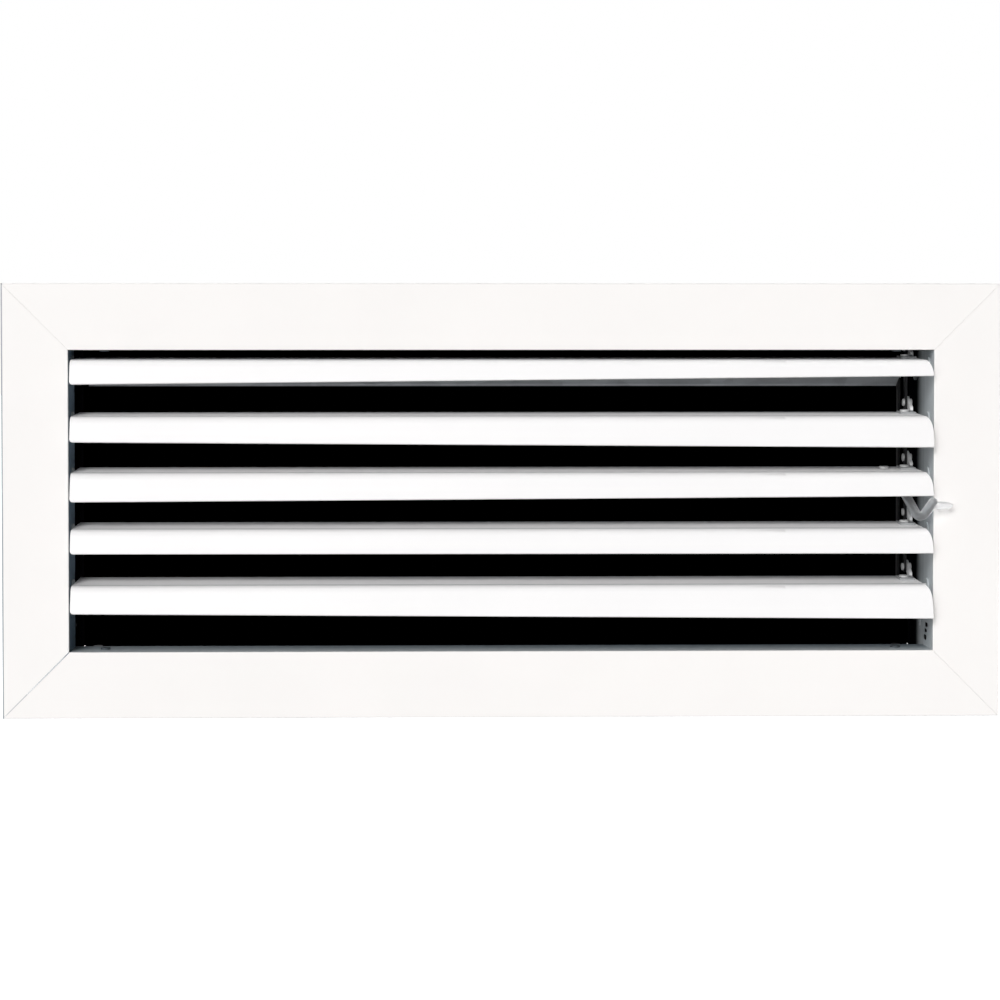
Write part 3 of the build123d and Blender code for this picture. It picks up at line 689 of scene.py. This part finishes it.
class OUTLET_OT_mould_handle(bpy.types.Operator):
    """Gives the hooked handle its milky nylon"""

    bl_idname = "outlet.mould_handle"
    bl_label = "Mould Handle"

    def execute(self, context):
        settings = context.scene.outlet_finish
        coat(nodes_of("handle_nylon"), handle_nylon(settings))
        return {"FINISHED"}


def shown(finish):
    """1 for rays that show the backdrop: straight from the camera, reflected or let through."""
    rays = ("Is Camera Ray", "Is Glossy Ray", "Is Transmission Ray")
    camera, glossy, through = [finish.node("ShaderNodeLightPath", output=ray) for ray in rays]
    return finish.between(camera + glossy + through, 0.0, 1.0)


def add_floor(settings):
    """A wide pale floor, white to the camera away from the outlet, that keeps the shadow near it."""
    bpy.ops.object.select_all(action="DESELECT")
    bpy.ops.mesh.primitive_plane_add(size=FLOOR_WIDTH,
                                     location=(0.0, 0.0, -OUTER_HALF_H - settings.floor_drop))
    floor = bpy.context.object
    floor.name = "studio_floor"
    finish = new_finish("pale_floor")
    x, y, _ = finish.axes(finish.place())
    reach = settings.shadow_reach
    away = finish.between(x * x + y * y, (reach / 2) ** 2, reach ** 2)
    strength = shown(finish) * (FLOOR_GLOW + away * (1.0 - FLOOR_GLOW))
    diffuse = finish.node("ShaderNodeBsdfDiffuse", None, {"Color": FLOOR_COLOUR})
    glow = finish.node("ShaderNodeEmission", None, {"Color": WHITE, "Strength": strength})
    both = finish.node("ShaderNodeAddShader", None, {0: diffuse, 1: glow})
    finish.node("ShaderNodeOutputMaterial", None, {"Surface": both})
    floor.data.materials.append(finish.owner)


def add_dark_duct():
    """A black card in the neck's end: painted shade that stands for the unlit duct, seen between the blades
    from in front.
    """
    bpy.ops.object.select_all(action="DESELECT")
    bpy.ops.mesh.primitive_plane_add(size=2.0, location=(0.0, NECK_HIGH.y - HAIR, 0.0),
                                     rotation=(math.radians(90.0), 0.0, 0.0))
    card = bpy.context.object
    card.name = "dark_duct_card"
    card.scale = (NECK_HIGH.x - SHEET_T, NECK_SHEET_HALF_H - SHEET_T, 1.0)
    finish = new_finish("dark_duct")
    back = finish.node("ShaderNodeNewGeometry", output="Backfacing")
    clear = finish.node("ShaderNodeBsdfTransparent")
    dark = finish.node("ShaderNodeBsdfDiffuse", None, {"Color": BLACK})
    shader = finish.node("ShaderNodeMixShader", None, {0: shown(finish) * (1 - back), 1: clear, 2: dark})
    finish.node("ShaderNodeOutputMaterial", None, {"Surface": shader})
    card.data.materials.append(finish.owner)


def add_lamp(name, kind, place, size, power):
    """A lamp aimed at the outlet: a square soft box, or an even light as wide in the sky as its size."""
    bpy.ops.object.light_add(type=kind, location=place)
    lamp = bpy.context.object
    lamp.name = name
    setattr(lamp.data, "angle" if kind == "SUN" else "size", size)
    lamp.data.energy = power
    lamp.rotation_euler = (-Vector(place)).to_track_quat("-Z", "Y").to_euler()
    lamp.visible_camera = False


def light_world(settings):
    """A world that is white to the camera, in reflections and through clear parts, and a dim even light."""
    world = bpy.data.worlds.new("studio_world")
    bpy.context.scene.world = world
    finish = Finish(world)
    strength = settings.ambient + shown(finish) * (1.0 - settings.ambient)
    background = finish.node("ShaderNodeBackground", None, {"Color": WHITE, "Strength": strength})
    finish.node("ShaderNodeOutputWorld", None, {"Surface": background})


def add_camera(settings):
    """The camera at the photograph's viewing angle, almost square to the flange."""
    bpy.ops.object.camera_add(location=settings.camera_place)
    camera = bpy.context.object
    camera.name = "studio_camera"
    sight = Vector(settings.camera_aim) - Vector(settings.camera_place)
    camera.rotation_euler = sight.to_track_quat("-Z", "Y").to_euler()
    camera.data.lens = settings.lens
    camera.data.shift_x = settings.shift_right
    camera.data.shift_y = -settings.shift_down
    bpy.context.scene.camera = camera


class OUTLET_OT_build_stage(bpy.types.Operator):
    """Sets up the floor, the black card of painted duct shade behind the outlet, the lamps, the world and
    the camera
    """

    bl_idname = "outlet.build_stage"
    bl_label = "Build Stage"

    def execute(self, context):
        settings = context.scene.outlet_stage
        add_floor(settings)
        add_dark_duct()
        add_lamp("key_light", "SUN", settings.key_place, settings.key_spread, settings.key_strength)
        add_lamp("fill_light", "SUN", settings.fill_place, settings.fill_spread, settings.fill_strength)
        add_lamp("side_lamp", "AREA", settings.side_place, settings.side_width, settings.side_power)
        add_lamp("back_lamp", "AREA", settings.back_place, settings.back_width, settings.back_power)
        light_world(settings)
        add_camera(settings)
        context.scene.view_settings.view_transform = "Standard"
        return {"FINISHED"}


OPERATORS = (
    OUTLET_OT_paint_frame,
    OUTLET_OT_paint_blades,
    OUTLET_OT_galvanise_sheets,
    OUTLET_OT_plate_fittings,
    OUTLET_OT_blacken_bars,
    OUTLET_OT_cast_keys,
    OUTLET_OT_mould_bushes,
    OUTLET_OT_mould_handle,
    OUTLET_OT_build_stage,
)


class OUTLET_PT_sidebar(bpy.types.Panel):
    """Lists the outlet's finishes and its stage"""

    bl_idname = "OUTLET_PT_sidebar"
    bl_label = "Air Outlet"
    bl_space_type = "VIEW_3D"
    bl_region_type = "UI"
    bl_category = "Air Outlet"

    def draw(self, context):
        layout = self.layout
        for settings in (context.scene.outlet_finish, context.scene.outlet_stage):
            box = layout.box()
            for name in settings.__annotations__:
                box.prop(settings, name)
        for operator in OPERATORS:
            layout.operator(operator.bl_idname)


CLASSES = (OutletFinishSettings, OutletStageSettings, *OPERATORS, OUTLET_PT_sidebar)


def register():
    for cls in CLASSES:
        bpy.utils.register_class(cls)
    bpy.types.Scene.outlet_finish = bpy.props.PointerProperty(type=OutletFinishSettings)
    bpy.types.Scene.outlet_stage = bpy.props.PointerProperty(type=OutletStageSettings)


def unregister():
    del bpy.types.Scene.outlet_stage
    del bpy.types.Scene.outlet_finish
    for cls in reversed(CLASSES):
        bpy.utils.unregister_class(cls)


def main():
    """Registers the classes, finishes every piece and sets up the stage."""
    register()
    bpy.ops.outlet.paint_frame()
    bpy.ops.outlet.paint_blades()
    bpy.ops.outlet.galvanise_sheets()
    bpy.ops.outlet.plate_fittings()
    bpy.ops.outlet.blacken_bars()
    bpy.ops.outlet.cast_keys()
    bpy.ops.outlet.mould_bushes()
    bpy.ops.outlet.mould_handle()
    bpy.ops.outlet.build_stage()


if __name__ == "__main__":
    main()
